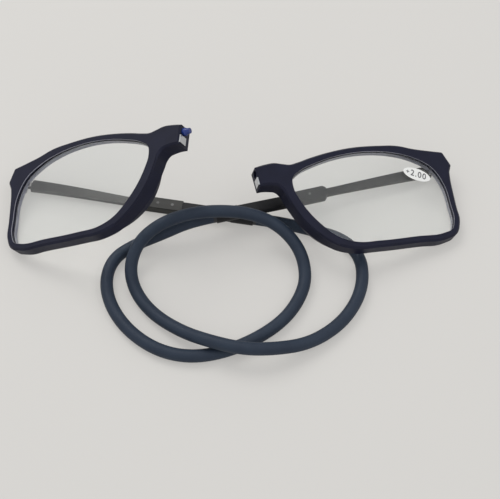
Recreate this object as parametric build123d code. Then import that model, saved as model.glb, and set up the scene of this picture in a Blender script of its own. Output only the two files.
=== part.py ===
from build123d import *
import os
from math import radians, sqrt, tan

# Magnetic bridge reading glasses, lying folded on a table, in millimetres.
# The glasses part at the bridge. Each half-front is hinged to a strip that
# slides in a housing, and the housings' sleeves hold the two ends of one cord.
#
# Shared frame: +X to the right, +Y away from the viewer, +Z up. The origin is
# on the table, under the middle of the glasses without their cord.
#
# A half is modelled as the left one, in temple coordinates: the hinge pin's
# middle is the origin, +X runs along the strip towards the sleeve, +Y along
# the pin towards the front's top edge, +Z away from the table. The right half
# is its mirror image.

# Where each temple lies: the hinge pin's middle, its turn on the table, its
# rise from the hinge towards the sleeve, and the front's angle to the strip.
# The left sleeve lies on the table on the flat of its boss.
boss_flat = 2.0
left_hinge_x = -68.7
left_hinge_y = 11.0
left_hinge_z = boss_flat
left_turn = 10.0
left_rise = 0.0
left_open_angle = 28.2
right_hinge_x = 68.4
right_hinge_y = 16.9
right_hinge_z = 2.5
right_turn = 16.4
right_rise = 3.1
right_open_angle = 7.2

# Half-front: lens opening, rim, and how the front stands off its hinge pin
lens_width = 51.9
lens_height = 32.7
opening_from_pin = 1.9
opening_above_pin = 6.5
rim_width = 2.05
rim_depth = 4.0
edge_bevel = 0.6
front_standoff = 6.0
front_tilt = 11.2

# End piece, at the rim's upper outer corner
end_past_pin = 3.2
end_corner = 0.9
end_bevel = 1.7
end_depth = 4.0
end_length = 11.0

# The front's top line above the pin
front_rise = 8.6

# Bridge stub, and the integral nose bearing behind the rim
stub_reach = 10.6
stub_height = 6.9
stub_below_pin = 1.6
stub_depth = 5.2
stub_root = 5.5
bearing_depth = 4.0
bearing_taper = 25.0

# Magnet, peg and socket in the stub's end face
magnet_height = 2.6
magnet_depth = 3.0
magnet_length = 3.0
magnet_from_top = 3.65
magnet_front_wall = 0.45
magnet_proud = 0.25
peg_radius = 1.05
peg_knob_radius = 1.3
peg_reach = 2.4
peg_root = 2.6
peg_from_top = 2.0
peg_back = 2.0
socket_slack = 0.12

# Lens: a plus lens, both faces are parts of spheres
lens_front_radius = 240.0
lens_back_radius = 800.0
lens_middle = 2.4
lens_proud = 0.1
groove_depth = 0.6
groove_slack = 0.06

# Hinge: two barrels on the front's leaf, the strip's eye between them
barrel_radius = 1.5
barrel_height = 1.5
eye_height = 2.0
barrel_gap = 0.05
screw_radius = 0.65
screw_slack = 0.05
screw_head_radius = 1.1
screw_head_height = 0.6
screw_slot = 0.35
leaf_length = 3.4
leaf_start = 1.2
leaf_height = 5.2
leaf_thickness = 0.8
leaf_web = 1.2
eye_swing_slack = 0.25

# Slider housing: a mouth with cut corners in front, a socket for the sleeve's
# tongue behind, and between them the click spring on its two rivets
housing_start = 39.0
housing_length = 14.0
housing_height = 4.4
housing_thickness = 2.9
housing_wall = 0.35
housing_corner = 1.0
housing_edge = 0.3
mouth_wall = 2.0
spring_width = 2.2
spring_thickness = 0.2
spring_pocket = 0.45
spring_end_gap = 0.2
rivet_radius = 0.5
rivet_proud = 0.05
rivet_first = 5.8
rivet_pitch = 4.9

# Sleeve: a tongue in the housing, a flat body, and a boss round the plug with
# a flat above and below
sleeve_length = 24.0
sleeve_height = 3.9
sleeve_thickness = 2.6
sleeve_edge = 0.5
sleeve_slack = 0.05
tongue_length = 2.0
boss_length = 7.5
boss_radius = 2.3
boss_edge = 0.3
channel_end_wall = 2.0
socket_depth = 9.0

# Strip: highest at the hinge and even where it slides. It ends a gap short of
# the channel's end.
strip_end_gap = 2.0
channel_end = housing_start + housing_length + sleeve_length - socket_depth - channel_end_wall
strip_length = channel_end - strip_end_gap
strip_height = 2.7
strip_root_height = 4.2
strip_thickness = 1.1
strip_neck = 2.6
strip_taper_gap = 3.0
strip_corner = 0.5
strip_slack = 0.08
notch_width = 0.9
notch_depth = 0.2
notch_pitch = 4.0
notch_count = 3
stop_from_end = 2.0
stop_radius = 0.6
stop_proud = 0.25
stop_slack = 0.08

# Plug and cord. The cord's section is a polygon of even sides.
plug_radius = 1.5
plug_barb = 0.2
plug_flange = 1.0
plug_slack = 0.05
plug_end_gap = 1.0
barb_length = 1.5
cord_radius = 2.0
cord_sides = 10

# Sticker on the right lens
sticker_length = 9.6
sticker_width = 4.6
sticker_thickness = 0.08
sticker_along = 10.1
sticker_up = -4.0
sticker_turn = 25.0

# Overrun of every cut past the face that it opens
overrun = 1.0

# Opening: along its width from the outer side, up its height from the bottom,
# and the rim's width there as a share of rim_width
opening_shares = [
    (0.115, 0.000, 1.00), (0.300, 0.003, 1.00), (0.550, 0.012, 1.00), (0.700, 0.032, 1.10),
    (0.790, 0.092, 1.30), (0.905, 0.290, 1.45), (0.982, 0.550, 1.45), (1.000, 0.690, 1.40),
    (0.986, 0.796, 1.35), (0.930, 0.862, 1.20), (0.800, 0.936, 1.05), (0.630, 0.990, 1.00),
    (0.460, 0.999, 1.00), (0.300, 0.962, 1.05), (0.160, 0.880, 1.25), (0.048, 0.740, 1.40),
    (0.000, 0.520, 1.05), (0.004, 0.300, 1.00), (0.018, 0.120, 1.00), (0.052, 0.030, 1.00),
]
# The nose bearing follows some of these points, after the first few, and
# stands this far out on the rim, as a share of the rim's width there.
bearing_skip_count = 4
bearing_point_count = 5
bearing_share = 0.95

# Top line: along the front from its tip to the bridge face, up its rise
top_shares = [
    (1.000, 0.600), (0.950, 0.680), (0.898, 0.705), (0.860, 0.630), (0.825, 0.570), (0.785, 0.620),
    (0.722, 0.744), (0.602, 0.919), (0.491, 1.000), (0.357, 0.965), (0.250, 0.865), (0.165, 0.640),
    (0.092, 0.490), (0.022, 0.360),
]

# Tip and notch of the end piece: along the front, down from the pin in rises
tip_share = (0.000, -0.240)
notch_shares = [(0.020, -0.520), (0.031, -0.900), (0.039, -1.340)]
# The rim's low line follows the last few points of opening_shares and then
# the first few.
low_last_count = 3
low_first_count = 7

# Underside of the bridge stub: along its reach past the opening, and down from
# its low edge to the end of the rim's low line
underside_shares = [(0.264, 0.611), (0.330, 0.290), (0.440, 0.090), (0.640, 0.010), (1.000, 0.000)]

# Peg: each ring's place along the reach, and its share of the knob's radius
peg_shares = [(0.00, 0.90), (0.30, 1.00), (0.54, 0.78), (1.00, 0.66)]

# Cord's route from the left plug to the right one, in the shared frame. The
# first and last points stand a plug's lead straight out of each sleeve.
cord_lead = 7.5
cord_route = [
    (24.8, -6.5, 2.0),
    (35.2, -10.0, 2.0),
    (41.0, -16.9, 2.0),
    (41.5, -26.0, 2.0),
    (38.7, -34.8, 2.0),
    (32.7, -42.9, 2.0),
    (23.3, -49.5, 2.8),
    (12.3, -52.9, 5.9),
    (3.3, -53.3, 7.0),
    (-6.2, -50.6, 6.6),
    (-15.2, -45.3, 3.2),
    (-24.2, -38.5, 2.0),
    (-30.1, -30.5, 2.0),
    (-32.3, -22.1, 3.2),
    (-29.6, -14.8, 7.0),
    (-22.2, -10.2, 10.8),
    (-13.0, -8.1, 13.0),
    (-3.2, -7.2, 13.2),
    (6.9, -7.9, 12.4),
    (15.6, -10.7, 9.4),
    (21.9, -16.8, 5.2),
    (23.6, -25.3, 2.3),
    (21.2, -33.2, 2.0),
    (16.3, -40.6, 2.0),
    (8.4, -46.9, 2.0),
    (-1.6, -51.7, 2.0),
    (-12.0, -53.6, 2.0),
    (-22.0, -51.3, 2.0),
    (-31.0, -44.8, 2.0),
    (-37.2, -36.1, 2.0),
    (-39.8, -26.5, 2.0),
    (-37.8, -17.8, 2.0),
    (-31.0, -12.8, 2.4),
    (-22.3, -10.2, 4.6),
]
arc_share = 0.45
strand_check_steps = 600
# Least sine of a turn that is drawn as an arc and not as a line
straight_share = 0.0005


def slab(x0, x1, y0, y1, z0, z1):
    """A box between two corners."""
    return Pos((x0 + x1) / 2, (y0 + y1) / 2, (z0 + z1) / 2) * Box(x1 - x0, y1 - y0, z1 - z0)


def ball(radius):
    """A ball with its poles along Y, clear of the lens's middle."""
    return Rot(90, 0, 0) * Sphere(radius)


def rod_x(radius, x0, x1):
    """A round bar along X."""
    return Pos((x0 + x1) / 2, 0, 0) * Rot(0, 90, 0) * Cylinder(radius, x1 - x0)


def rod_y(radius, y0, y1):
    """A round bar along Y."""
    return Pos(0, (y0 + y1) / 2, 0) * Rot(90, 0, 0) * Cylinder(radius, y1 - y0)


def rod_z(radius, z0, z1):
    """A round bar along Z."""
    return Pos(0, 0, (z0 + z1) / 2) * Cylinder(radius, z1 - z0)


def cone_x(x0, radius0, x1, radius1):
    """A round taper along X."""
    return Pos((x0 + x1) / 2, 0, 0) * Rot(0, 90, 0) * Cone(radius0, radius1, x1 - x0)


def headings(points, closed):
    """The curve's direction at each point, as on the circle through three."""
    count = len(points)
    found = []
    for i in range(count):
        back = points[i] - points[i - 1]
        ahead = points[(i + 1) % count] - points[i]
        found.append((back.normalized() * ahead.length + ahead.normalized() * back.length).normalized())
    if not closed:
        first = (points[1] - points[0]).normalized()
        last = (points[-1] - points[-2]).normalized()
        found[0] = first * (found[1].dot(first) * 2) - found[1]
        found[-1] = last * (found[-2].dot(last) * 2) - found[-2]
    return found


def arc_or_line(start, end, heading):
    """An arc that leaves the start along its heading, or a line."""
    if heading.cross((end - start).normalized()).length < straight_share:
        return Line(start, end)
    return TangentArc(start, end, tangent=heading)


def smooth_line(points, closed=False):
    """A smooth curve through the points, with two tangent arcs in each span."""
    ways = headings(points, closed)
    spans = len(points) if closed else len(points) - 1
    edges = []
    for i in range(spans):
        start, end = points[i], points[(i + 1) % len(points)]
        leave, arrive = ways[i], ways[(i + 1) % len(points)]
        chord = end - start
        bend = 1 - leave.dot(arrive)
        along = chord.dot(leave + arrive)
        if bend < straight_share ** 2:
            reach = chord.dot(chord) / (along * 2)
        else:
            reach = (sqrt(along ** 2 + chord.dot(chord) * bend * 2) - along) / (bend * 2)
        middle = (start + end + (leave - arrive) * reach) / 2
        edges.append(arc_or_line(start, middle, leave))
        edges.append(arc_or_line(end, middle, -arrive))
    return edges


def opening_point(share):
    """A point of the lens opening, on the front's face."""
    return Vector(
        opening_from_pin + share[0] * lens_width,
        opening_above_pin + (share[1] - 1) * lens_height,
    )


def grown_points(growths):
    """The opening's points, each moved out square to the opening's line."""
    points = [opening_point(share) for share in opening_shares]
    ways = headings(points, True)
    return [p + Vector(w.Y, -w.X) * g for p, w, g in zip(points, ways, growths)]


def opening_face(growth):
    """The opening's outline, grown evenly."""
    return make_face(smooth_line(grown_points([growth] * len(opening_shares)), closed=True))


def rim_points(share):
    """Points on the rim, at a share of its width from the opening."""
    return grown_points([rim_width * width * share for along, up, width in opening_shares])


def front_point(share):
    """A point of the front's outline, from shares of its length and its rise."""
    length = end_past_pin + opening_from_pin + lens_width + stub_reach
    return Vector(share[0] * length - end_past_pin, share[1] * front_rise)


def stub_tip():
    """The bridge stub's low corner at its end face."""
    return Vector(opening_from_pin + lens_width + stub_reach, -stub_below_pin)


def front_outline():
    """The front's outer outline, its end piece's corners rounded."""
    top = [front_point(s) for s in top_shares]
    rim = rim_points(1)
    corner = rim[low_first_count - 1]
    end = stub_tip()
    low = [front_point(s) for s in notch_shares] + rim[-low_last_count:] + rim[:low_first_count]
    fall = corner.Y - end.Y
    for along, down in underside_shares:
        low.append(Vector(end.X + (along - 1) * stub_reach, end.Y + down * fall))
    tip = front_point(tip_share)
    edges = smooth_line(top) + smooth_line(low)
    edges += [Line(top[-1], tip), Line(tip, low[0]), Line(low[-1], top[0])]
    outline = make_face(edges)
    corners = outline.vertices().sort_by(Axis.X)[:3]
    return fillet(corners, end_corner)


def back_trim():
    """What is cut off behind the rim between the end piece and the stub."""
    inner = end_length - end_past_pin
    root = opening_from_pin + lens_width - stub_root
    reach = stub_depth + overrun
    return [
        (-end_past_pin - overrun, -reach),
        (-end_past_pin - overrun, end_bevel + overrun - end_depth),
        (end_bevel - end_past_pin, -end_depth),
        (inner, -end_depth),
        (inner + stub_root, -rim_depth),
        (root, -rim_depth),
        (root + stub_root, -stub_depth),
        (root + stub_root, -reach),
    ]


def lens_blank(growth, slack):
    """The lens's shape in the front's coordinates, or its groove's with slack."""
    middle = opening_point((0.5, 0.5))
    blank = Pos(0, 0, lens_proud + slack) * extrude(opening_face(growth), -(lens_middle + rim_depth))
    front_centre = lens_proud + slack - lens_front_radius
    back_centre = lens_proud - lens_middle - slack - lens_back_radius
    blank = blank & Pos(middle.X, middle.Y, front_centre) * ball(lens_front_radius)
    return blank - Pos(middle.X, middle.Y, back_centre) * ball(lens_back_radius)


def nose_bearing():
    """The pad behind the rim's nose side: thinner to the back, and faded out at both ends."""
    depth = rim_depth + bearing_depth
    follows = slice(bearing_skip_count, bearing_skip_count + bearing_point_count)
    outside = rim_points(bearing_share)[follows]
    inside = grown_points([-rim_width] * len(opening_shares))[follows]
    inside.reverse()
    edges = smooth_line(outside) + smooth_line(inside)
    edges += [Line(outside[-1], inside[0]), Line(inside[-1], outside[0])]
    pad = extrude(make_face(edges), -depth)
    low, high = outside[0], outside[-1]
    middle = (high + low) / 2
    half = (high - low).length / 2
    sweep_radius = (half ** 2 + bearing_depth ** 2) / (bearing_depth * 2)
    across = Plane(
        origin=(middle.X, middle.Y, sweep_radius - depth),
        x_dir=(0, 0, 1),
        z_dir=Vector(high.Y - low.Y, low.X - high.X, 0),
    )
    pad = pad & across * Cylinder(sweep_radius, lens_height)
    arc = ThreePointArc(low, outside[len(outside) // 2], high)
    slope = tan(radians(bearing_taper))
    back_radius = arc.radius - bearing_depth * slope
    face_radius = arc.radius + rim_depth * slope
    return pad & Pos(arc.arc_center.X, arc.arc_center.Y, -depth / 2) * Cone(back_radius, face_radius, depth)


def magnet_block(slack):
    """The magnet in the front's coordinates, or its pocket with slack."""
    tip = stub_tip()
    top = tip.Y + stub_height - magnet_from_top
    return slab(
        tip.X - magnet_length - slack,
        tip.X + (overrun if slack else magnet_proud),
        top - magnet_height - slack,
        top + slack,
        -magnet_front_wall - magnet_depth - slack,
        -magnet_front_wall + slack,
    )


def peg_place():
    """The peg's axis in the front's coordinates, along the stub's reach."""
    tip = stub_tip()
    return Pos(tip.X, tip.Y + stub_height - peg_from_top, -peg_back)


def locating_peg():
    """The peg, turned in one piece: a shaft with a knob of two lobes."""
    profile = [(-peg_root, 0), (-peg_root, peg_radius), (0, peg_radius)]
    profile += [(peg_reach * along, peg_knob_radius * size) for along, size in peg_shares]
    profile += [(peg_reach, 0)]
    return peg_place() * revolve(make_face(Polyline(*profile, close=True)), Axis.X)


def hinge_leaf():
    """The front's hinge leaf in temple coordinates, folded flat."""
    drop = end_depth * tan(radians(front_tilt))
    plate = slab(leaf_start, leaf_start + leaf_length, -leaf_height / 2 - drop, leaf_height / 2 - drop,
                 -end_depth, leaf_thickness - end_depth)
    leaf = front_seat() * plate
    for side in (-1, 1):
        near = side * (eye_height / 2 + barrel_gap)
        far = side * (eye_height / 2 + barrel_gap + barrel_height)
        low, high = min(near, far), max(near, far)
        barrel = rod_y(barrel_radius, low, high)
        web_top = front_standoff - end_depth + leaf_thickness / 2
        web = slab(0, leaf_start + leaf_web, low, high, barrel_radius / 4, web_top)
        leaf += barrel + web
    reach = eye_height / 2 + barrel_gap + barrel_height + overrun
    return leaf - rod_y(screw_radius, -reach, reach)


def hinge_screw():
    """The hinge screw: shaft, slotted head on the upper barrel."""
    top = eye_height / 2 + barrel_gap + barrel_height
    screw = rod_y(screw_radius, -top, top) + rod_y(screw_head_radius, top, top + screw_head_height)
    slot = slab(-screw_head_radius - overrun, screw_head_radius + overrun,
                top + screw_head_height / 2, top + screw_head_height + overrun,
                -screw_slot / 2, screw_slot / 2)
    return screw - slot


def front_seat():
    """From the front's coordinates to temple coordinates, folded flat."""
    return Pos(0, 0, front_standoff) * Rot(front_tilt, 0, 0)


def half_front(has_socket):
    """One moulded half-front in temple coordinates, folded flat."""
    outline = front_outline()
    body = extrude(outline, -stub_depth)
    body = chamfer(body.edges().group_by(Axis.Z)[-1], edge_bevel)
    trim = Plane.XZ * make_face(Polyline(*back_trim(), close=True))
    body -= extrude(trim, lens_height * 2, both=True)
    body += nose_bearing()
    opening = Pos(0, 0, overrun) * extrude(opening_face(0), -(rim_depth + bearing_depth + overrun * 2))
    body -= opening
    body -= lens_blank(groove_depth, groove_slack)
    body -= magnet_block(groove_slack)
    if has_socket:
        body -= peg_place() * rod_x(peg_knob_radius + socket_slack, -peg_reach - socket_slack, overrun)
    else:
        body -= peg_place() * rod_x(peg_radius, -peg_root, overrun)
    body = front_seat() * body
    body -= hinge_leaf()
    reach = eye_height / 2 + barrel_gap
    body -= rod_y(barrel_radius + eye_swing_slack, -reach, reach)
    top = eye_height / 2 + barrel_gap + barrel_height
    return body - rod_y(screw_head_radius + eye_swing_slack, top, top + screw_head_height + overrun)


def temple_bar():
    """The strip, with its eye round the hinge screw and its click notches."""
    half = strip_thickness / 2
    even = housing_start - strip_taper_gap
    edge = [
        (strip_neck, strip_root_height / 2),
        (even, strip_height / 2),
        (strip_length, strip_height / 2),
    ]
    side = edge + [(x, -y) for x, y in reversed(edge)]
    strip = extrude(make_face(Polyline(*side, close=True)), half, both=True)
    strip = fillet(strip.edges().filter_by(Axis.Z).group_by(Axis.X)[0], strip_corner)
    strip += slab(0, strip_neck + strip_corner, -eye_height / 2, eye_height / 2, -half, half)
    strip += rod_y(barrel_radius, -eye_height / 2, eye_height / 2)
    strip -= rod_y(screw_radius + screw_slack, -strip_height, strip_height)
    crest = housing_start + rivet_first + rivet_pitch / 2
    for i in range(notch_count):
        x = crest + i * notch_pitch
        strip -= slab(x - notch_width / 2, x + notch_width / 2, -strip_height, strip_height,
                      half - notch_depth, half + overrun)
    pin = rod_z(stop_radius, -strip_thickness, strip_thickness)
    return strip - Pos(strip_length - stop_from_end, 0, 0) * pin


def bar_stop():
    """The stop pin, proud of the strip's side that faces the table."""
    half = strip_thickness / 2
    return Pos(strip_length - stop_from_end, 0, 0) * rod_z(stop_radius, -half - stop_proud, half)


def channel(x0, x1):
    """The strip's channel with the groove for the stop pin."""
    side = strip_height / 2 + strip_slack
    half = strip_thickness / 2 + strip_slack
    groove = stop_radius + stop_slack
    deep = strip_thickness / 2 + stop_proud + stop_slack
    start = max(x0, housing_start + mouth_wall)
    return slab(x0, x1, -side, side, -half, half) + slab(start, x1, -groove, groove, -deep, 0)


def tongue_block(x0, x1, slack):
    """The sleeve's tongue, or the housing's socket for it with slack."""
    side = housing_height / 2 - housing_wall - sleeve_slack + slack
    half = housing_thickness / 2 - housing_wall - sleeve_slack + slack
    return slab(x0, x1, -side, side, -half, half)


def spring_box(gap):
    """The click spring's room in the housing, from end to end."""
    x0 = housing_start + mouth_wall
    x1 = housing_start + housing_length - tongue_length - spring_end_gap
    half = spring_width / 2 + gap
    floor = strip_thickness / 2
    return x0, x1, half, floor, floor + strip_slack + spring_pocket


def slider_housing():
    """The housing: mouth, channel, spring pocket and the sleeve's socket."""
    end = housing_start + housing_length
    side = housing_height / 2
    half = housing_thickness / 2
    body = slab(housing_start, end, -side, side, -half, half)
    mouth = body.edges().filter_by(Axis.Z).group_by(Axis.X)[0]
    body = chamfer(mouth, housing_corner)
    body = fillet(body.edges().filter_by(Axis.X), housing_edge)
    body -= channel(housing_start - overrun, end + overrun)
    body -= tongue_block(end - tongue_length - sleeve_slack, end + overrun, sleeve_slack)
    x0, x1, room, floor, roof = spring_box(stop_slack)
    body -= slab(x0, x1, -room, room, floor, roof)
    for i in range(2):
        hole = rod_z(rivet_radius, 0, half + overrun)
        body -= Pos(housing_start + rivet_first + i * rivet_pitch, 0, 0) * hole
    return body


def click_spring():
    """The leaf spring: a strip with a shallow bow that bears on the bar."""
    x0, x1, room, floor, roof = spring_box(0)
    start = x0 + stop_slack
    end = x1 - stop_slack
    high = roof - spring_thickness
    low = floor + stop_slack
    rivets = [housing_start + rivet_first + i * rivet_pitch for i in range(2)]
    crest = (rivets[0] + rivets[1]) / 2
    left, right = rivets[0] + rivet_radius, rivets[1] - rivet_radius
    bow = ThreePointArc((left, 0, high), (crest, 0, low), (right, 0, high))
    back = ThreePointArc((left, 0, roof), (crest, 0, low + spring_thickness), (right, 0, roof))
    outline = [
        bow,
        back,
        Polyline(back @ 0, (start, 0, roof), (start, 0, high), bow @ 0),
        Polyline(back @ 1, (end, 0, roof), (end, 0, high), bow @ 1),
    ]
    return extrude(make_face(outline), room, both=True)


def housing_rivets():
    """The two rivets on the spring's back, dressed nearly flush with the housing."""
    x0, x1, room, floor, roof = spring_box(0)
    rivet = rod_z(rivet_radius, roof, housing_thickness / 2 + rivet_proud)
    places = [housing_start + rivet_first + i * rivet_pitch for i in range(2)]
    return Compound(children=[Pos(x, 0, 0) * rivet for x in places])


def sleeve():
    """The moulded sleeve: tongue, flat body and the boss round the plug."""
    start = housing_start + housing_length
    end = start + sleeve_length
    boss = end - boss_length
    side = sleeve_height / 2
    half = sleeve_thickness / 2
    body = slab(start, boss, -side, side, -half, half)
    body = fillet(body.edges().filter_by(Axis.X), sleeve_edge)
    round_end = rod_x(boss_radius, boss, end - boss_edge)
    round_end += cone_x(end - boss_edge, boss_radius, end, boss_radius - boss_edge)
    body += round_end & slab(boss, end, -boss_radius, boss_radius, -boss_flat, boss_flat)
    body += tongue_block(start - tongue_length, start, 0)
    body -= channel(start - tongue_length, channel_end)
    groove = stop_radius + stop_slack
    body -= slab(start - tongue_length - overrun, start, -groove, groove, -housing_thickness, 0)
    return body - rod_x(plug_radius + plug_slack, end - socket_depth, end + overrun)


def cord_plug():
    """The plug: barbed stem in the sleeve, flange between sleeve and cord."""
    end = housing_start + housing_length + sleeve_length
    first = end - socket_depth + plug_end_gap
    stem = rod_x(plug_radius - plug_barb, first, end)
    stem += cone_x(first, plug_radius - plug_barb, first + barb_length, plug_radius)
    return stem + rod_x(cord_radius, end, end + plug_flange)


def power_sticker():
    """A thin oval film that follows the lens's front face."""
    middle = opening_point((0.5, 0.5))
    oval = extrude(Ellipse(sticker_length / 2, sticker_width / 2), rim_depth, both=True)
    film = Pos(sticker_along, sticker_up, 0) * Rot(0, 0, sticker_turn) * oval
    centre = Pos(middle.X, middle.Y, lens_proud - lens_front_radius)
    film = film & centre * ball(lens_front_radius + sticker_thickness)
    film = film - centre * ball(lens_front_radius)
    return front_seat() * film


def temple_place(side):
    """From temple coordinates to the shared frame."""
    if side == "left":
        return Pos(left_hinge_x, left_hinge_y, left_hinge_z) * Rot(0, 0, -left_turn) * Rot(0, -left_rise, 0)
    return Pos(right_hinge_x, right_hinge_y, right_hinge_z) * Rot(0, 0, right_turn) * Rot(0, right_rise, 0)


def placed(shape, side, on_front=False):
    """A left-handed shape, mirrored for the right half and put in its place."""
    opened = left_open_angle if side == "left" else right_open_angle
    if side == "right":
        shape = mirror(shape, about=Plane.YZ)
        opened = -opened
    turn = Rot(0, -opened, 0) if on_front else Rot(0, 0, 0)
    return temple_place(side) * turn * shape


def along_temple(side, distance):
    """A point on the temple's line in the shared frame."""
    reach = distance if side == "left" else -distance
    return (temple_place(side) * Pos(reach, 0, 0)).position


def cord_points():
    """The route's points with those at the plugs' faces."""
    face = housing_start + housing_length + sleeve_length + plug_flange
    start = [along_temple("left", face), along_temple("left", face + cord_lead)]
    finish = [along_temple("right", face + cord_lead), along_temple("right", face)]
    return start + [Vector(*p) for p in cord_route] + finish


def arc_radii(points):
    """As large an arc at each corner as its two runs allow."""
    radii = []
    for before, here, after in zip(points, points[1:], points[2:]):
        shorter = min((here - before).length, (after - here).length)
        turn = radians((here - before).get_angle(after - here))
        radii.append(arc_share * shorter / tan(turn / 2))
    return radii


def neck_cord():
    """The cord: a tube along straight runs joined by tangent arcs."""
    points = cord_points()
    radii = arc_radii(points)
    path = FilletPolyline(*points, radius=radii)
    section = Plane(origin=path @ 0, z_dir=path % 0) * RegularPolygon(cord_radius, cord_sides)
    tube = sweep(section, path)
    runs = [(b - a).length for a, b in zip(points, points[1:])]
    turns = [(b - a).get_angle(c - b) for a, b, c in zip(points, points[1:], points[2:])]
    print("cord radii:", [round(r, 1) for r in radii])
    print("cord runs:", [round(r, 1) for r in runs])
    print("cord turns:", [round(t) for t in turns])
    print("cord length:", round(path.length, 1))
    print("volume over section times length:", round(tube.volume / (section.area * path.length), 4))
    print("least gap of the cord to itself:", round(strand_gap(path), 2))
    return tube


def strand_gap(path):
    """The least gap between strands of the cord, measured on points."""
    spots = [path @ (i / strand_check_steps) for i in range(strand_check_steps + 1)]
    step = path.length / strand_check_steps
    apart = int(cord_radius * 8 / step)
    gaps = [
        (spots[i] - spots[j]).length
        for i in range(len(spots))
        for j in range(i + apart, len(spots))
    ]
    return min(gaps) - cord_radius * 2


def build():
    """Every node of the glasses in the shared frame."""
    nodes = {}
    front_pieces = {
        "lens": front_seat() * lens_blank(groove_depth - groove_slack, 0),
        "bridge_magnet": front_seat() * magnet_block(0),
        "hinge_leaf": hinge_leaf(),
        "hinge_screw": hinge_screw(),
    }
    temple_pieces = {
        "temple_bar": temple_bar(),
        "bar_stop": bar_stop(),
        "slider_housing": slider_housing(),
        "click_spring": click_spring(),
        "housing_rivets": housing_rivets(),
        "sleeve": sleeve(),
        "cord_plug": cord_plug(),
    }
    for side in ("left", "right"):
        nodes[side + "_front"] = placed(half_front(side == "right"), side, True)
        for name, shape in front_pieces.items():
            nodes[side + "_" + name] = placed(shape, side, True)
        for name, shape in temple_pieces.items():
            nodes[side + "_" + name] = placed(shape, side)
    nodes["locating_peg"] = placed(front_seat() * locating_peg(), "left", True)
    nodes["power_sticker"] = placed(power_sticker(), "right", True)
    nodes["neck_cord"] = neck_cord()
    return nodes


os.makedirs("parts", exist_ok=True)
for name, shape in build().items():
    export_step(shape, "parts/" + name + ".step")
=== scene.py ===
from math import cos, radians, sin, sqrt

import bpy
from mathutils import Matrix, Vector


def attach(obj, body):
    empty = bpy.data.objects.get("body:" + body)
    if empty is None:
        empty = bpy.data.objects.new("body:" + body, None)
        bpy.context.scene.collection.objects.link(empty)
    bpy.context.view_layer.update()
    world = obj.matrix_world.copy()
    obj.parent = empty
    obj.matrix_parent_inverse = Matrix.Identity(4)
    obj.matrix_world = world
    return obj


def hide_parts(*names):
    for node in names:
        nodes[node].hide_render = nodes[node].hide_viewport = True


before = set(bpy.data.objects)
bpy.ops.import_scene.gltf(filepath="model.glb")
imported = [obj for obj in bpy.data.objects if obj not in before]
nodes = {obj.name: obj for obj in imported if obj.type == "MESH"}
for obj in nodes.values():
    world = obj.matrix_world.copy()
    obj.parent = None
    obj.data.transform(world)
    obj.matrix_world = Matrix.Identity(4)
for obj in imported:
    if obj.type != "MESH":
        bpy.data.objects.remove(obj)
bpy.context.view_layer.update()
MM = 0.001


def add_object(name, data):
    """An object of this data, linked to the scene."""
    thing = bpy.data.objects.new(name, data)
    bpy.context.scene.collection.objects.link(thing)
    return thing


# Camera: a pinhole at the photograph's angle
look_at = Vector((5.8, -13.15, 0.0)) * MM
elevation = radians(55.8)
distance = 328.5 * MM
focal_px = 1016
frame_px = 500
sensor_mm = 36
cam_data = bpy.data.cameras.new("camera")
cam_data.sensor_width = sensor_mm
cam_data.lens = focal_px * sensor_mm / frame_px
cam_data.clip_start = 0.01
cam_data.clip_end = 20
camera = add_object("camera", cam_data)
camera.location = look_at + Vector((0, -cos(elevation), sin(elevation))) * distance
camera.rotation_euler = (radians(90) - elevation, 0, 0)
bpy.context.scene.camera = camera

# Where each temple lies, as in part.py, in millimetres and degrees
LEFT = {"hinge": (-68.7, 11.0, 2.0), "turn": 10.0, "rise": 0.0, "open": 28.2, "hand": 1}
RIGHT = {"hinge": (68.4, 16.9, 2.5), "turn": 16.4, "rise": 3.1, "open": 7.2, "hand": -1}
sides = {"left": LEFT, "right": RIGHT}


def temple_turn(side):
    """How far a temple is turned about the upright axis, in radians."""
    return radians(side["turn"]) * -side["hand"]


def temple_matrix(side):
    """From temple coordinates to the shared frame, in millimetres."""
    turned = Matrix.Rotation(temple_turn(side), 4, "Z")
    raised = Matrix.Rotation(radians(side["rise"]) * -side["hand"], 4, "Y")
    return Matrix.Translation(side["hinge"]) @ turned @ raised


def on_temple(side, along):
    """A point on a temple's centre line, in metres."""
    return (temple_matrix(side) @ Vector((along * side["hand"], 0, 0))) * MM


# Cord: from the left plug's face to the right one's, by part.py's route
plug_face = 78.0
cord_lead = 7.5
cord_radius = 2.0
cord_route = [
    (24.8, -6.5, 2.0),
    (35.2, -10.0, 2.0),
    (41.0, -16.9, 2.0),
    (41.5, -26.0, 2.0),
    (38.7, -34.8, 2.0),
    (32.7, -42.9, 2.0),
    (23.3, -49.5, 2.8),
    (12.3, -52.9, 5.9),
    (3.3, -53.3, 7.0),
    (-6.2, -50.6, 6.6),
    (-15.2, -45.3, 3.2),
    (-24.2, -38.5, 2.0),
    (-30.1, -30.5, 2.0),
    (-32.3, -22.1, 3.2),
    (-29.6, -14.8, 7.0),
    (-22.2, -10.2, 10.8),
    (-13.0, -8.1, 13.0),
    (-3.2, -7.2, 13.2),
    (6.9, -7.9, 12.4),
    (15.6, -10.7, 9.4),
    (21.9, -16.8, 5.2),
    (23.6, -25.3, 2.3),
    (21.2, -33.2, 2.0),
    (16.3, -40.6, 2.0),
    (8.4, -46.9, 2.0),
    (-1.6, -51.7, 2.0),
    (-12.0, -53.6, 2.0),
    (-22.0, -51.3, 2.0),
    (-31.0, -44.8, 2.0),
    (-37.2, -36.1, 2.0),
    (-39.8, -26.5, 2.0),
    (-37.8, -17.8, 2.0),
    (-31.0, -12.8, 2.4),
    (-22.3, -10.2, 4.6),
]
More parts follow.
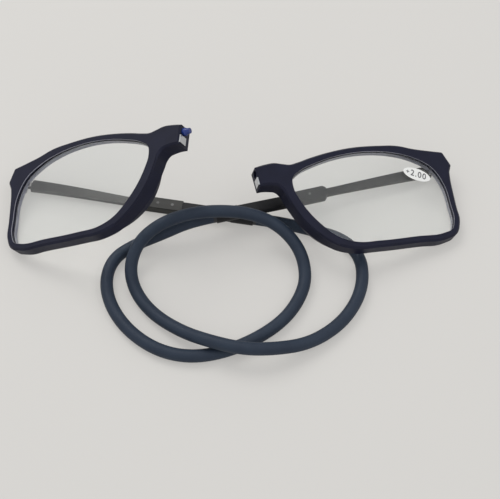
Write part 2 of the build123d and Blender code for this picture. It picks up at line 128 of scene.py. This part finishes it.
cord_points = (
    [on_temple(LEFT, plug_face), on_temple(LEFT, plug_face + cord_lead)]
    + [Vector(p) * MM for p in cord_route]
    + [on_temple(RIGHT, plug_face + cord_lead), on_temple(RIGHT, plug_face)]
)
cord_curve = bpy.data.curves.new("neck_cord_line", "CURVE")
cord_curve.dimensions = "3D"
line = cord_curve.splines.new("NURBS")
line.points.add(len(cord_points) - 1)
for point, place in zip(line.points, cord_points):
    point.co = (*place, 1)
    point.radius = cord_radius * MM
line.order_u = 3
line.use_endpoint_u = True
line.resolution_u = 12
# A unit circle, which each point's radius scales
cord_curve.bevel_depth = 1.0
cord_curve.bevel_resolution = 8
cord_curve.use_fill_caps = True
cord = add_object("neck_cord_rubber", cord_curve)
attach(cord, "cord_and_sliders")
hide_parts("neck_cord")


# Materials. A noise counts from its low to its high value, and the patches of
# colour are this many times as wide as the fine grain.
noise_low = 0.3
noise_high = 0.7
patch_grains = 12


def node_tree(name):
    """A new material, its node tree and its shader."""
    material = bpy.data.materials.new(name)
    material.use_nodes = True
    tree = material.node_tree
    return material, tree, tree.nodes["Principled BSDF"]


def object_coordinates(tree, turn=0.0, stretch=(1, 1, 1)):
    """Coordinates that stay on the piece, turned and stretched."""
    coordinates = tree.nodes.new("ShaderNodeTexCoord")
    mapping = tree.nodes.new("ShaderNodeMapping")
    mapping.vector_type = "TEXTURE"
    mapping.inputs["Rotation"].default_value = (0, 0, turn)
    mapping.inputs["Scale"].default_value = stretch
    tree.links.new(coordinates.outputs["Object"], mapping.inputs["Vector"])
    return mapping.outputs["Vector"]


def noise(tree, vector, scale, detail, rough=0.55):
    texture = tree.nodes.new("ShaderNodeTexNoise")
    texture.inputs["Scale"].default_value = scale
    texture.inputs["Detail"].default_value = detail
    texture.inputs["Roughness"].default_value = rough
    tree.links.new(vector, texture.inputs["Vector"])
    return texture.outputs["Fac"]


def ramp(tree, factor, low, high):
    """A blend of two colours by a noise."""
    node = tree.nodes.new("ShaderNodeValToRGB")
    node.color_ramp.elements[0].position = noise_low
    node.color_ramp.elements[0].color = (*low, 1)
    node.color_ramp.elements[1].position = noise_high
    node.color_ramp.elements[1].color = (*high, 1)
    tree.links.new(factor, node.inputs["Fac"])
    return node.outputs["Color"]


def spread(tree, factor, low, high):
    """A value that a noise moves between two limits."""
    node = tree.nodes.new("ShaderNodeMapRange")
    node.inputs["From Min"].default_value = noise_low
    node.inputs["From Max"].default_value = noise_high
    node.inputs["To Min"].default_value = low
    node.inputs["To Max"].default_value = high
    tree.links.new(factor, node.inputs["Value"])
    return node.outputs["Result"]


def bump(tree, shader, height, strength, distance_mm):
    node = tree.nodes.new("ShaderNodeBump")
    node.inputs["Strength"].default_value = strength
    node.inputs["Distance"].default_value = distance_mm * MM
    tree.links.new(height, node.inputs["Height"])
    tree.links.new(node.outputs["Normal"], shader.inputs["Normal"])


def surface(
    name, low, high, rough, grain, metal=0.0, bumps=0.15, depth=0.03, specular=0.5,
    turn=0.0, stretch=(1, 1, 1),
):
    """A moulded or metal surface with uneven colour, gloss and fine grain."""
    material, tree, shader = node_tree(name)
    vector = object_coordinates(tree, turn, stretch)
    broad = noise(tree, vector, grain / patch_grains, detail=3.0)
    fine = noise(tree, vector, grain, detail=5.0, rough=0.65)
    tree.links.new(ramp(tree, broad, low, high), shader.inputs["Base Color"])
    tree.links.new(spread(tree, fine, rough - 0.05, rough + 0.06), shader.inputs["Roughness"])
    shader.inputs["Metallic"].default_value = metal
    shader.inputs["Specular IOR Level"].default_value = specular
    bump(tree, shader, fine, bumps, depth)
    return material


def glass(name, tint):
    """Clear lens: refracts, and lets light through where it casts a shadow."""
    material, tree, shader = node_tree(name)
    vector = object_coordinates(tree)
    smear = noise(tree, vector, scale=60, detail=2.0)
    shader.inputs["Base Color"].default_value = (*tint, 1)
    tree.links.new(spread(tree, smear, 0.01, 0.035), shader.inputs["Roughness"])
    shader.inputs["Transmission Weight"].default_value = 1.0
    shader.inputs["IOR"].default_value = 1.5
    shader.inputs["Coat Weight"].default_value = 0.25
    shader.inputs["Coat Roughness"].default_value = 0.03
    clear = tree.nodes.new("ShaderNodeBsdfTransparent")
    clear.inputs["Color"].default_value = (0.93, 0.94, 0.94, 1)
    path = tree.nodes.new("ShaderNodeLightPath")
    mix = tree.nodes.new("ShaderNodeMixShader")
    out = tree.nodes["Material Output"]
    tree.links.new(path.outputs["Is Shadow Ray"], mix.inputs["Fac"])
    tree.links.new(shader.outputs["BSDF"], mix.inputs[1])
    tree.links.new(clear.outputs["BSDF"], mix.inputs[2])
    tree.links.new(mix.outputs["Shader"], out.inputs["Surface"])
    return material


navy = surface(
    "front_navy", (0.0055, 0.0064, 0.0190), (0.0080, 0.0092, 0.0255), 0.46, 2600,
    bumps=0.12, specular=0.22,
)
clear = glass("lens_clear", (0.97, 0.985, 0.98))
silver = surface("magnet_nickel", (0.50, 0.51, 0.53), (0.62, 0.63, 0.65), 0.30, 1800, metal=1.0, bumps=0.05)
steel = surface("hinge_steel", (0.36, 0.36, 0.36), (0.46, 0.46, 0.47), 0.34, 1500, metal=1.0, bumps=0.08)
bright = surface("screw_steel", (0.48, 0.48, 0.48), (0.60, 0.60, 0.60), 0.28, 1500, metal=1.0, bumps=0.06)
black = surface("sleeve_black", (0.009, 0.009, 0.011), (0.014, 0.014, 0.016), 0.48, 2200, specular=0.25)
plug_dark = surface("plug_dark", (0.015, 0.016, 0.020), (0.022, 0.023, 0.028), 0.5, 2200)
rubber = surface(
    "cord_navy", (0.016, 0.025, 0.044), (0.022, 0.034, 0.056), 0.58, 1500,
    bumps=0.25, depth=0.05, specular=0.3,
)
blue = surface("peg_blue", (0.008, 0.024, 0.150), (0.012, 0.034, 0.200), 0.26, 1200, bumps=0.04)
rivet_dull = surface("rivet_dull", (0.10, 0.10, 0.10), (0.15, 0.15, 0.15), 0.5, 1500, metal=0.8, bumps=0.08)
# Painted highlight: a pale lilac colour for the light that the lens bevel reflects
lilac_bevel_highlight_paint = surface("lens_bevel_highlight", (0.28, 0.28, 0.34), (0.38, 0.38, 0.45), 0.30, 900, bumps=0.03)
film = surface("sticker_white", (0.80, 0.80, 0.78), (0.86, 0.86, 0.84), 0.40, 900, bumps=0.05)
ink = surface("sticker_ink", (0.06, 0.06, 0.07), (0.10, 0.10, 0.11), 0.6, 3000, bumps=0.02)

finishes = {
    "front": navy, "lens": clear, "bridge_magnet": silver, "hinge_leaf": steel, "hinge_screw": bright,
    "bar_stop": bright, "click_spring": bright, "housing_rivets": rivet_dull, "sleeve": black,
    "cord_plug": plug_dark,
}


def dress(name, material):
    """Give a solid its only material."""
    mesh = nodes[name].data
    mesh.materials.clear()
    mesh.materials.append(material)


for word, side in sides.items():
    for piece, material in finishes.items():
        dress(word + "_" + piece, material)
    # The gunmetal's grain runs along the temple
    turn = temple_turn(side)
    bar_skin = surface(
        word + "_bar_gunmetal", (0.040, 0.039, 0.036), (0.054, 0.053, 0.049), 0.42, 1400,
        metal=0.75, bumps=0.10, turn=turn, stretch=(14, 1, 1),
    )
    housing_skin = surface(
        word + "_housing_gunmetal", (0.036, 0.036, 0.035), (0.049, 0.049, 0.047), 0.44, 1400,
        metal=0.7, bumps=0.10, turn=turn, stretch=(10, 1, 1),
    )
    dress(word + "_temple_bar", bar_skin)
    dress(word + "_slider_housing", housing_skin)
dress("locating_peg", blue)
dress("power_sticker", film)
cord_curve.materials.append(rubber)


# Front and lens sizes, as in part.py, in millimetres and degrees
front_standoff = 6.0
front_tilt = 11.2
opening_from_pin = 1.9
opening_above_pin = 6.5
lens_width = 51.9
lens_height = 32.7
lens_front_radius = 240.0
lens_proud = 0.1
sticker_along = 10.1
sticker_up = -4.0
sticker_turn = 25.0


def on_front(side, place):
    """A point in the front's coordinates, in metres in the shared frame."""
    seat = Matrix.Translation((0, 0, front_standoff)) @ Matrix.Rotation(radians(front_tilt), 4, "X")
    spot = seat @ place
    spot.x *= side["hand"]
    swing = Matrix.Rotation(radians(side["open"]) * -side["hand"], 4, "Y")
    return (temple_matrix(side) @ swing @ spot) * MM


def on_lens(side, along, up, proud):
    """A point just above a lens's front face, in metres."""
    across = along - opening_from_pin - lens_width / 2
    rise = up - opening_above_pin + lens_height / 2
    reach = sqrt((lens_front_radius + proud) ** 2 - across ** 2 - rise ** 2)
    return on_front(side, Vector((along, up, lens_proud - lens_front_radius + reach)))


# Lens power, on the sticker
power_proud = 0.11
power_bold = 0.03


def power_text(name, body, along, size, narrow, space):
    """Characters on the sticker, set along its length."""
    run, climb = cos(radians(sticker_turn)), sin(radians(sticker_turn))
    x, y = sticker_along - along * run, sticker_up - along * climb
    here = on_lens(RIGHT, x, y, power_proud)
    reading = (on_lens(RIGHT, x - run, y - climb, power_proud) - here).normalized()
    upright = (on_lens(RIGHT, x - climb, y + run, power_proud) - here).normalized()
    upright = (upright - reading * reading.dot(upright)).normalized()
    text = bpy.data.curves.new(name + "_text", "FONT")
    text.body = body
    text.size = size * MM
    text.align_x = "CENTER"
    text.align_y = "CENTER"
    text.space_character = space
    text.offset = power_bold * MM
    text.materials.append(ink)
    piece = add_object(name, text)
    turned = Matrix((reading, upright, reading.cross(upright))).transposed().to_4x4()
    piece.matrix_world = Matrix.Translation(here) @ turned @ Matrix.Diagonal((narrow, 1, 1, 1))
    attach(piece, "right_half")


power_text("lens_power_plus", "+", along=-3.3, size=2.3, narrow=1.0, space=1.0)
power_text("lens_power_digits", "2.00", along=0.5, size=3.3, narrow=0.84, space=1.2)


# Painted highlight: pale lilac bands on the opening's wall stand in for the light line
# that the lens bevel reflects round the inside of the rim, and the deeper band lightens
# the wall's shade. The opening's points are those of part.py without the rim's widths:
# shares along its width from the outer side and up its height from the bottom.
highlight_inset = 0.07
highlight_steps = 10
highlight_bands = [(0.04, 0.36), (1.7, 3.9)]
opening_shares = [
    (0.115, 0.000), (0.300, 0.003), (0.550, 0.012), (0.700, 0.032), (0.790, 0.092), (0.905, 0.290),
    (0.982, 0.550), (1.000, 0.690), (0.986, 0.796), (0.930, 0.862), (0.800, 0.936), (0.630, 0.990),
    (0.460, 0.999), (0.300, 0.962), (0.160, 0.880), (0.048, 0.740), (0.000, 0.520), (0.004, 0.300),
    (0.018, 0.120), (0.052, 0.030),
]


def opening_ring(inset, steps):
    """Points round the lens opening, moved in from its wall."""
    corners = [
        Vector((opening_from_pin + x * lens_width, opening_above_pin + (y - 1) * lens_height))
        for x, y in opening_shares
    ]
    count = len(corners)
    ways = []
    for i in range(count):
        back, ahead = corners[i] - corners[i - 1], corners[(i + 1) % count] - corners[i]
        ways.append((back.normalized() * ahead.length + ahead.normalized() * back.length).normalized())
    ring = []
    for i in range(count):
        start, end = corners[i], corners[(i + 1) % count]
        leave, arrive = ways[i], ways[(i + 1) % count]
        chord = (end - start).length
        for k in range(steps):
            t = k / steps
            # A cubic through both corners, along both their directions
            spot = start * (2 * t**3 - 3 * t**2 + 1) + end * (3 * t**2 - 2 * t**3)
            spot = spot + leave * chord * (t**3 - 2 * t**2 + t) + arrive * chord * (t**3 - t**2)
            way = leave.lerp(arrive, t).normalized()
            ring.append(spot + Vector((-way.y, way.x)) * inset)
    return ring


def lens_bevel_highlight(word, side):
    """Thin bands of painted highlight on the wall of the opening, each between two depths."""
    ring = opening_ring(highlight_inset, highlight_steps)
    count = len(ring)
    points, faces = [], []
    for band in highlight_bands:
        base = len(points)
        for spot in ring:
            for depth in band:
                points.append(on_front(side, Vector((spot.x, spot.y, -depth))))
        # Two points at each spot, so one quad from spot to spot
        for i in range(count):
            j = (i + 1) % count
            faces.append((base + 2 * i, base + 2 * i + 1, base + 2 * j + 1, base + 2 * j))
    mesh = bpy.data.meshes.new(word + "_lens_bevel_mesh")
    mesh.from_pydata(points, [], faces)
    mesh.materials.append(lilac_bevel_highlight_paint)
    piece = add_object(word + "_lens_bevel_highlight", mesh)
    for face in mesh.polygons:
        face.use_smooth = True
    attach(piece, word + "_half")


for word, side in sides.items():
    lens_bevel_highlight(word, side)

# Floor and light. To the camera, gloss and glass, a share of the floor's colour
# is its own light, so that its shadows stay pale.
floor_side = 16
own_light_share = 0.5
bpy.ops.mesh.primitive_plane_add(size=floor_side)
floor = bpy.context.object
floor.name = "floor"
floor_material, tree, shader = node_tree("floor_pale")
shader.inputs["Base Color"].default_value = (0.66, 0.645, 0.62, 1)
shader.inputs["Roughness"].default_value = 0.9
shader.inputs["Specular IOR Level"].default_value = 0.1
glow = tree.nodes.new("ShaderNodeEmission")
glow.inputs["Color"].default_value = (0.685, 0.670, 0.645, 1)
path = tree.nodes.new("ShaderNodeLightPath")
seen = path.outputs["Is Camera Ray"]
for kind in ("Is Glossy Ray", "Is Transmission Ray"):
    either = tree.nodes.new("ShaderNodeMath")
    either.operation = "MAXIMUM"
    tree.links.new(seen, either.inputs[0])
    tree.links.new(path.outputs[kind], either.inputs[1])
    seen = either.outputs[0]
share = tree.nodes.new("ShaderNodeMath")
share.operation = "MULTIPLY"
share.inputs[1].default_value = own_light_share
tree.links.new(seen, share.inputs[0])
mix = tree.nodes.new("ShaderNodeMixShader")
tree.links.new(share.outputs[0], mix.inputs["Fac"])
tree.links.new(shader.outputs["BSDF"], mix.inputs[1])
tree.links.new(glow.outputs["Emission"], mix.inputs[2])
tree.links.new(mix.outputs["Shader"], tree.nodes["Material Output"].inputs["Surface"])
floor.data.materials.append(floor_material)

world = bpy.data.worlds.new("studio")
bpy.context.scene.world = world
world.use_nodes = True
sky = world.node_tree.nodes["Background"]
sky.inputs["Color"].default_value = (0.98, 0.99, 1.0, 1)
sky.inputs["Strength"].default_value = 0.72


def area_light(name, place, size, watts, colour):
    """A round lamp, turned to the point that the camera looks at."""
    data = bpy.data.lights.new(name, "AREA")
    data.shape = "DISK"
    data.size = size
    data.energy = watts
    data.color = colour
    lamp = add_object(name, data)
    lamp.location = place
    lamp.rotation_euler = (look_at - Vector(place)).to_track_quat("-Z", "Y").to_euler()


area_light("key", (-0.35, 0.45, 0.75), 0.55, 3.2, (1.0, 0.985, 0.96))
area_light("fill", (0.5, -0.3, 0.9), 0.7, 1.2, (0.97, 0.98, 1.0))

bpy.context.scene.view_settings.view_transform = "Standard"
bpy.context.scene.view_settings.look = "None"

bpy.context.view_layer.update()
